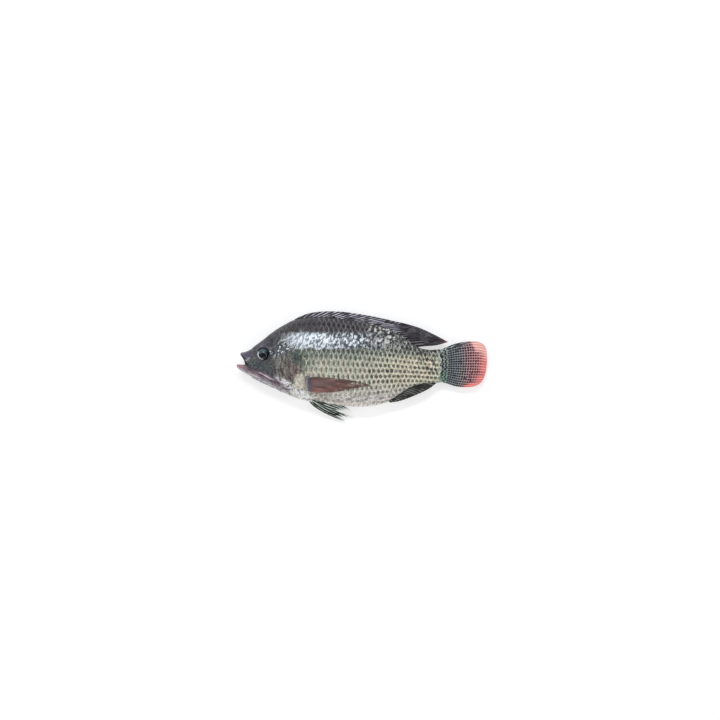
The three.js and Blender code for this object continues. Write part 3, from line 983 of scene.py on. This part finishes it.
# The scales
PLATE_COLUMNS, PLATE_ROWS = 3, 8  # faces along and across one scale
PLATE_LENGTH, PLATE_HEIGHT, PLATE_ROUND = 8.6, 16, 9.0  # of one scale, and the radius of its free edge
PLATE_THICK = 0.16
AFT = 2.9  # how much of a scale is behind its middle
FRONT_ROUND = 0.35  # how round the hidden front edge is, as a share of the free edge's roundness
TILT_VARIES, TURN_VARIES = 0.18, 0.006  # how much the scales differ in their lift, and from side to side
EDGE_DIP = 0.18  # how far the free edge bends back to the skin, as a share of the lift
SCALE_SINK = 0.02  # how far a scale's front end is sunk in the skin
CELL_EDGE, CELL_TOP, CELL_UNDER, CELL_TALL = 0.04, 0.42, 0.48, 0.9  # a scale's two faces in its cell to bake
TAIL_STEP, TAIL_ROW = 4.9, 5.3  # step and row at the tail fin
STEP_TAPER, ROW_TAPER = (90, 235), (100, 236)  # the x where step and row start to shrink and stop
ROW_ZERO = -4.4  # where the middle row lies, along the skin from the flank's widest line
ROWS_BESIDE = 9  # rows above the middle row, and as many below it
FIRST_COLUMN, LAST_COLUMN = 34.0, BODY_END + 1.5
HEAD_GAP, EDGE_GAP, PAD_GAP = 2.2, 0.5, (2, 1)  # bare skin behind the head, at back and belly, at the pad
TABLE_X, TABLE_ANGLE = 160, 181  # how many places the flank's map is worked out at


class FlankMap:
    """Finds the angle on a ring from the distance along the skin, up or down from its widest line."""

    def __init__(self):
        self.x = np.linspace(HEAD_START, BODY_END, TABLE_X)
        angle = np.linspace(0, np.pi, TABLE_ANGLE)
        self.share = np.linspace(0, 1, TABLE_ANGLE)
        self.angle = np.zeros((TABLE_X, TABLE_ANGLE))
        self.length, self.top = np.zeros(TABLE_X), np.zeros(TABLE_X)
        for i, x in enumerate(self.x):
            ring = skin_point(np.full(TABLE_ANGLE, station_of(x)[0]), angle)
            run = np.concatenate([[0], np.cumsum(np.linalg.norm(np.diff(ring, axis=0), axis=1))])
            self.length[i] = run[-1]
            self.top[i] = run[TABLE_ANGLE // 2]
            self.angle[i] = np.interp(self.share * run[-1], run, angle)

    def limits(self, x):
        """Distances from the widest line up to the back and down to the belly."""
        top = np.interp(x, self.x, self.top)
        return top, np.interp(x, self.x, self.length) - top

    def find(self, x, up):
        """The angle at distance up from the widest line. It runs on over the back or the belly."""
        top, _ = self.limits(x)
        share = (top - up) / np.interp(x, self.x, self.length)
        over, under = share < 0, share > 1
        share = np.where(over, -share, np.where(under, 2 - share, share))
        i = np.clip((x - self.x[0]) / (self.x[1] - self.x[0]), 0, TABLE_X - 1.001)
        j = np.clip(share * (TABLE_ANGLE - 1), 0, TABLE_ANGLE - 1.001)
        a, b = i.astype(int), j.astype(int)
        s, t = i - a, j - b
        low = self.angle[a, b] * (1 - t) + self.angle[a, b + 1] * t
        high = self.angle[a + 1, b] * (1 - t) + self.angle[a + 1, b + 1] * t
        angle = low * (1 - s) + high * s
        return np.where(over, -angle, np.where(under, 2 * np.pi - angle, angle))


def one_scale(name):
    """One scale as a thin closed plate, with a rounded free edge. Returns its corners along and across."""
    piece, out, across, face = add_sheet(name, PLATE_COLUMNS, PLATE_ROWS, thick=True)
    side = (across - 0.5) * PLATE_HEIGHT
    pulled = PLATE_ROUND - np.sqrt(PLATE_ROUND**2 - side**2)
    start = AFT - PLATE_LENGTH + pulled * FRONT_ROUND
    along = start + out * (AFT - pulled - start)
    return piece, out, across, face, along, side


def scale_places(sizes, flank, count):
    """Where the scales' middles lie: x, distance up from the widest line, and their size each way.

    An odd count shifts the rows by half a scale, so that the two flanks mesh along the back.
    """
    step, tall = sizes.scale_step * 1000, sizes.scale_row * 1000
    x, found = FIRST_COLUMN, []
    while x < LAST_COLUMN:
        width = step + (TAIL_STEP - step) * rise(x, *STEP_TAPER)
        rows = np.arange(-ROWS_BESIDE, ROWS_BESIDE + 1)
        rows = rows[(rows + count) % 2 == 0]
        found.append(np.column_stack([np.full(len(rows), x), rows, np.full(len(rows), width / step)]))
        x += width / 2
        count += 1
    x, rows, size = np.vstack(found).T
    tall = tall + (TAIL_ROW - tall) * rise(x, *ROW_TAPER)
    up = ROW_ZERO + rows * tall
    top, bottom = flank.limits(x)
    on = (up < top - EDGE_GAP) & (up > EDGE_GAP - bottom)
    x, rows, size, tall, up = (a[on] for a in (x, rows, size, tall, up))
    y = skin_point(station_of(x), flank.find(x, up))[:, 1]
    along, across = np.add(FIN_PAD_SIZE, PAD_GAP)
    pad = np.hypot((x - FIN_PAD_AT[0]) / along, (y - FIN_PAD_AT[1]) / across)
    on = (distance_to(SCALES_START, x, y) > HEAD_GAP) & (pad > 1)
    return x[on], up[on], size[on], tall[on] / (sizes.scale_row * 1000)


def lay_scales(name, side, sizes, flank):
    """Copies one scale over a whole flank. side is 1 for the left flank and -1 for the right."""
    piece, out, across, face, along, beside = one_scale(name)
    plate = piece.data
    x, up, long, tall = scale_places(sizes, flank, int(side < 0))
    count, corner_count = len(x), len(plate.vertices)
    random = np.random.default_rng(sizes.seed + (side > 0))
    tilt, turn, tone = random.normal(0, 1, (3, count))
    lift = sizes.scale_lift * 1000
    at_x = x[:, None] + along * long[:, None]
    at_up = up[:, None] + beside * tall[:, None]
    slope = lift / PLATE_LENGTH * (1 + TILT_VARIES * tilt[:, None])
    height = (along + PLATE_LENGTH - AFT) * slope + beside * TURN_VARIES * turn[:, None]
    height = height - EDGE_DIP * rise(out, 0.6, 1) * lift + face * PLATE_THICK / 2 - SCALE_SINK
    at_x, at_up, height = (a.ravel() for a in (at_x, at_up, height))
    angle = flank.find(np.clip(at_x, HEAD_START, BODY_END), at_up)
    points = raised(station_of(at_x), angle * side, height)
    polygons = np.array([list(p.vertices) for p in plate.polygons])
    faces = (polygons[None] + (np.arange(count) * corner_count)[:, None, None]).reshape(-1, 4)
    made = bpy.data.meshes.new(name)
    made.from_pydata(row(points), [], faces.tolist())
    corner = loop_corners(made)
    shared = np.tile(np.column_stack([out, across]), (count, 1))[corner]
    keep_map(made, "plate", *shared.T)
    cells = math.ceil(math.sqrt(count))
    index = corner // corner_count
    under = np.tile(face < 0, count)[corner]
    u = (index % cells + CELL_EDGE + shared[:, 1] * CELL_TOP + under * CELL_UNDER) / cells
    keep_map(made, "OFBake", u, (index // cells + CELL_EDGE + shared[:, 0] * CELL_TALL) / cells)
    keep_value(made, "tone", np.repeat(np.clip(0.5 + tone * 0.25, 0, 1), corner_count))
    piece.data = made
    bpy.data.meshes.remove(plate)
    made.name = name
    return piece


class TILAPIA_OT_scales(bpy.types.Operator):
    """Cover both flanks with overlapping scales"""

    bl_idname = "tilapia.scales"
    bl_label = "Scales"

    def execute(self, context):
        scene = context.scene
        material = scale_finish(scene.tilapia_colours)
        flank = FlankMap()
        for name, side in (("scales_left", 1), ("scales_right", -1)):
            complete(lay_scales(name, side, scene.tilapia_sizes, flank), material, ["body"])
        return {"FINISHED"}


# The fins
def patch(edges, u, v):
    """The point at (u, v) of the patch between a fin's root, margin, first and last edge."""
    root, margin = np.array(edges["root"], float), np.array(edges["margin"], float)
    near, far = along_line(root, u), along_line(margin, u ** edges.get("swept", 1))
    first = along_line([root[0], *edges["first"], margin[0]], v)
    last = along_line([root[-1], *edges["last"], margin[-1]], v)
    u, v = u[:, None], v[:, None]
    flat = (1 - v) * ((1 - u) * root[0] + u * root[-1]) + v * ((1 - u) * margin[0] + u * margin[-1])
    return (1 - v) * near + v * far + (1 - u) * first + u * last - flat


def ray_ridge(u, v, count, forks, soft_from):
    """How near (u, v) is to a ray: one on it, nought midway between two.

    Rays past the u of soft_from fork at each v in forks; the stiff spines before it do not.
    """
    ridge = 0.5 + 0.5 * np.cos(2 * np.pi * u * count)
    for i, fork in enumerate(forks):
        finer = 0.5 + 0.5 * np.cos(2 * np.pi * u * count * 2 ** (i + 1))
        share = rise(v, fork - 0.12, fork + 0.12) * (u >= soft_from)
        ridge = ridge * (1 - share) + finer * share
    return ridge


EDGE_SWELL = 0.14  # the share of the way across a fin over which its root swells
ROOT_FADE, COLLAR = 0.45, 0.12  # how far out the root's thickness goes, and the thickest part of it
RAY_SHARP = 1.5  # one for round rays, and more for narrow ones
MARGIN_THIN = 0.45  # the share of the thickness that is lost by the margin


def add_fin(name, edges, grid, rays, thick, place, notch=0.0, forks=(), soft_from=0.0):
    """A fin between its edges, with raised rays and thin membrane, notched between the rays' tips.

    thick is half the thickness at the root, of a ray and of the membrane. place gives the height of
    the fin's middle surface over the fish's middle plane from u, v, x and y.
    """
    piece, u, v, face = add_sheet(name, *grid, thick=True)
    ridge = ray_ridge(u, v, rays, forks, soft_from)
    reach = v * (1 - notch * (1 - ridge**0.6) * v**4)
    x, y = patch(edges, u, reach).T
    root, ray, web = thick
    root = root * np.sqrt(np.minimum(1, np.minimum(u, 1 - u) / EDGE_SWELL))
    thin, sharp = rise(v, 0, ROOT_FADE), ridge**RAY_SHARP
    half = (root * (1 - thin) + ray * thin) * sharp + web * (1 - sharp)
    half = np.maximum(half * (1 - MARGIN_THIN * v), web * 0.8) + root * (1 - rise(v, 0, COLLAR)) * 0.6
    x, y, z = place(u, v, x, y)
    points = lay(np.column_stack([x, y, z]))
    points[:, 2] += face * half
    mesh = piece.data
    move_corners(mesh, row(points))
    keep_value(mesh, "ray", ridge)
    mesh.uv_layers[0].name = "fin"
    corner = loop_corners(mesh)
    under = face[corner] < 0
    keep_map(mesh, "OFBake", u[corner] * 0.98 + 0.01, v[corner] * 0.48 + 0.01 + under * 0.5)
    return piece


def upright(waves, tall):
    """Places a fin in the middle plane, with gentle waves that grow towards its margin."""
    def place(u, v, x, y):
        return x, y, tall * v * np.sin(u * np.pi * 2 * waves + v * 2)
    return place


class TILAPIA_OT_middle_fins(bpy.types.Operator):
    """Model the dorsal and anal fins, folded back, and the spread tail fin"""

    bl_idname = "tilapia.middle_fins"
    bl_label = "Dorsal, anal and tail fins"

    def execute(self, context):
        colours = context.scene.tilapia_colours
        dark = dark_fin_colour(colours.fin, colours.ray, streaks=0.13, deep_from=184, tip_from=241)
        dorsal = add_fin(
            "dorsal_fin_spines", DORSAL, grid=(420, 40), rays=31, thick=(1.5, 0.75, 0.3),
            place=upright(3.5, 1.1), notch=0.02, forks=(0.4,), soft_from=0.62,
        )
        complete(dorsal, fin_finish("dorsal_fin", dark), ["dorsal_fin"])
        grey = dark_fin_colour((48, 46, 46), (122, 126, 116), 0.04, TOTAL_LENGTH, TOTAL_LENGTH)
        anal = add_fin(
            "anal_fin_rays", ANAL, grid=(150, 24), rays=15, thick=(1.5, 0.7, 0.3),
            place=upright(1.5, 0.8), notch=0.02,
        )
        complete(anal, fin_finish("anal_fin", grey), ["anal_fin"])
        tail = add_fin(
            "tail_fin_rays", TAIL, grid=(260, 90), rays=18, thick=(3, 0.62, 0.28),
            place=upright(1.5, 1.6), notch=0.01,
        )
        complete(tail, fin_finish("tail_fin", tail_colour(colours)), ["caudal_fin"])
        return {"FINISHED"}


class TILAPIA_OT_paired_fins(bpy.types.Operator):
    """Model the pectoral fins, one on the flank and one under the belly, and the two pelvic fins"""

    bl_idname = "tilapia.paired_fins"
    bl_label = "Pectoral and pelvic fins"

    def execute(self, context):
        colours = context.scene.tilapia_colours

        def on_flank(u, v, x, y):
            return x, y, flank_height(x, y) + 0.6 + 0.8 * rise(v, 0, 0.12) + 0.5 * np.sin(u * 9 + v * 3) * v

        def on_surface(u, v, x, y):
            return x, y - PECTORAL_TURN * v**SAG, 0.5 - MIDDLE_HEIGHT + droop(x)

        brown = fin_finish("pectoral_fins", pectoral_colour(colours))
        for name, node, place in (
            ("pectoral_rays_left", "pectoral_fin_left", on_flank),
            ("pectoral_rays_right", "pectoral_fin_right", on_surface),
        ):
            fin = add_fin(name, PECTORAL, (110, 60), 13, (0.8, 0.45, 0.22), place, notch=0.05, forks=(0.5,))
            complete(fin, brown, [node])

        def hanging(side, hang):
            def place(u, v, x, y):
                return x, y, side - hang * v**SAG + 0.6 * np.sin(u * 8) * v
            return place

        green = fin_finish("pelvic_fins", pelvic_colour(colours))
        for name, node, edges, place in (
            ("pelvic_rays_left", "pelvic_fin_left", PELVIC_LEFT, hanging(8, 10)),
            ("pelvic_rays_right", "pelvic_fin_right", PELVIC_RIGHT, hanging(-4.5, 13)),
        ):
            fin = add_fin(name, edges, (100, 60), 4, (1.2, 0.7, 0.25), place, notch=0.2)
            complete(fin, green, [node])
        return {"FINISHED"}


class TILAPIA_OT_eyes(bpy.types.Operator):
    """Set the two eyes in their sockets"""

    bl_idname = "tilapia.eyes"
    bl_label = "Eyes"

    def execute(self, context):
        material = eye_finish()
        stand = flank_height(EYE_AT[0], EYE_AT[1])[0] + EYE_STANDS - EYE_DEPTH
        for name, node, side in (("eyeball_left", "eye_left", 1), ("eyeball_right", "eye_right", -1)):
            bpy.ops.object.select_all(action="DESELECT")
            bpy.ops.mesh.primitive_uv_sphere_add(segments=64, ring_count=32, radius=1)
            piece = context.object
            piece.name = piece.data.name = name
            ball = corners(piece.data)
            out = np.hypot(ball[:, 0], ball[:, 1])
            ball[:, 2] *= 1 + EYE_BULGE * (1 - rise(out, 0.35, 0.75))
            place = np.array([EYE_AT[0], EYE_AT[1], MIDDLE_HEIGHT + side * stand])
            points = ball * [EYE_RADIUS, EYE_RADIUS, EYE_DEPTH * side] + place
            move_corners(piece.data, row(points))
            complete(piece, material, [node], crease=80)
        return {"FINISHED"}


# The stage, in metres
FLOOR_SIZE, FLOOR_GLOW = 12, 0.52
FRAME_WIDTH = 0.8623  # what the camera takes in at the fish
LENS, SENSOR = 150, 36  # these two in millimetres
CAMERA_AT = (-0.0029, 0.0085)  # the point of the surface that it hangs over


def add_light(name, size, place, aim, power, colour=(1, 1, 1)):
    """An area light at place that points to aim. The camera doesn't see it."""
    bpy.ops.object.light_add(type="AREA", location=place)
    lamp = bpy.context.object
    lamp.name = name
    lamp.data.shape = "RECTANGLE"
    lamp.data.size, lamp.data.size_y = size
    lamp.data.energy = power
    lamp.data.color = colour
    lamp.rotation_euler = (Vector(aim) - Vector(place)).to_track_quat("-Z", "Y").to_euler()
    lamp.visible_camera = False


class TILAPIA_OT_stage(bpy.types.Operator):
    """Lay the pale floor, set the lights and hang the camera straight above the fish"""

    bl_idname = "tilapia.stage"
    bl_label = "Stage"

    def execute(self, context):
        scene = context.scene
        stage = scene.tilapia_stage
        bpy.ops.object.select_all(action="DESELECT")
        bpy.ops.mesh.primitive_plane_add(size=FLOOR_SIZE)
        floor = context.object
        floor.name = "floor"
        f = Finish("floor", roughness=0.7, coat=0.0)
        f.feed(base_color=f.mix(f.noise(60) * 0.2, (206, 206, 206), (202, 202, 202)))
        f.shader.inputs["Emission Color"].default_value = paint(255, 255, 255)
        f.shader.inputs["Emission Strength"].default_value = FLOOR_GLOW
        floor.data.materials.append(f.material)
        add_light(
            "strip_light", (0.7, 0.12), (-0.18, 0.6, 1.03), (-0.18, 0.02, 0), stage.window, (0.93, 0.97, 1)
        )
        for name, place in (
            ("front_light", (-1.5, 0, 1.3)), ("rear_light", (1.5, 0, 1.3)), ("belly_light", (0, -1.6, 1.1)),
        ):
            add_light(name, (1.1, 1.1), place, (0, 0, 0), stage.side)
        world = bpy.data.worlds.new("surround")
        world.use_nodes = True
        background = world.node_tree.nodes["Background"]
        background.inputs["Color"].default_value = paint(252, 252, 255)
        background.inputs["Strength"].default_value = stage.surround
        scene.world = world
        height = FRAME_WIDTH * LENS / SENSOR + MIDDLE_HEIGHT / 1000
        bpy.ops.object.camera_add(location=(*CAMERA_AT, height), rotation=(0, 0, 0))
        camera = context.object
        camera.data.lens, camera.data.sensor_width = LENS, SENSOR
        scene.camera = camera
        scene.view_settings.view_transform = "Standard"
        return {"FINISHED"}


OPERATORS = (
    TILAPIA_OT_body, TILAPIA_OT_scales, TILAPIA_OT_middle_fins, TILAPIA_OT_paired_fins, TILAPIA_OT_eyes,
    TILAPIA_OT_stage,
)


class TILAPIA_PT_panel(bpy.types.Panel):
    """Lists the fish's pieces, in the order in which they are made"""

    bl_label = "Tilapia"
    bl_idname = "TILAPIA_PT_panel"
    bl_space_type = "VIEW_3D"
    bl_region_type = "UI"
    bl_category = "Tilapia"

    def draw(self, context):
        for operator in OPERATORS:
            self.layout.operator(operator.bl_idname)
        for settings in GROUPS:
            group, box = getattr(context.scene, settings), self.layout.box()
            for name in group.__annotations__:
                box.prop(group, name)


GROUPS = {
    "tilapia_colours": TilapiaColours, "tilapia_sizes": TilapiaSizes, "tilapia_stage": StageSettings,
}


def register():
    for name, group in GROUPS.items():
        bpy.utils.register_class(group)
        setattr(bpy.types.Scene, name, PointerProperty(type=group))
    for shown in (*OPERATORS, TILAPIA_PT_panel):
        bpy.utils.register_class(shown)


def unregister():
    for shown in (TILAPIA_PT_panel, *reversed(OPERATORS)):
        bpy.utils.unregister_class(shown)
    for name, group in GROUPS.items():
        delattr(bpy.types.Scene, name)
        bpy.utils.unregister_class(group)


def main():
    register()
    for operator in OPERATORS:
        getattr(bpy.ops.tilapia, operator.bl_idname.split(".")[1])()


if __name__ == "__main__":
    main()
